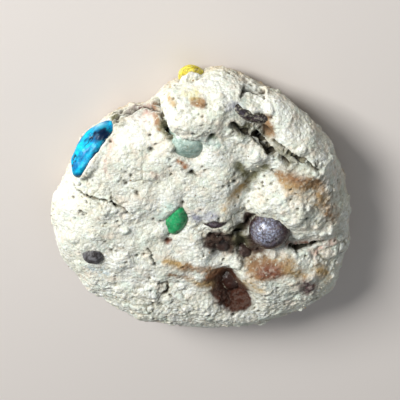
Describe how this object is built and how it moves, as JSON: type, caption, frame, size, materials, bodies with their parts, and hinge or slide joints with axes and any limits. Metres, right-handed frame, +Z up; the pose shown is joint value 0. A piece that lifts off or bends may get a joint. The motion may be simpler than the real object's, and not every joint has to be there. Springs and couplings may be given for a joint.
{
  "type": "candy chocolate chip cookie",
  "caption": "Thick round drop cookie with a cracked, uneven pale top, sugar-shelled candies and chocolate chips half sunk in the dough, lying flat.",
  "frame": {"origin": "centre of the flat underside", "axes": "+Z up out of the top, +Y towards the back edge that carries the yellow candy, +X to the right of it seen from above"},
  "size_m": [0.0756, 0.0767, 0.0211],
  "materials": {
    "baked_dough": "matte, dry and crumbly, pale cream with golden brown edges",
    "blue_shell": "glossy sugar shell, finely cracked by baking",
    "brown_shell": "glossy sugar shell, part frosted",
    "green_shell": "glossy sugar shell",
    "mint_shell": "glossy sugar shell, washed out by baking",
    "yellow_shell": "glossy sugar shell",
    "chocolate": "dull baked chocolate"
  },
  "bodies": {
    "root": {"dough": "baked_dough", "candy_blue": "blue_shell", "candy_brown": "brown_shell", "candy_brown_low": "brown_shell", "candy_brown_ridge": "brown_shell", "candy_green": "green_shell", "candy_mint": "mint_shell", "candy_yellow": "yellow_shell", "chip_left": "chocolate", "chip_hollow": "chocolate", "chip_crater": "chocolate", "chip_fold": "chocolate"}
  },
  "joints": []
}
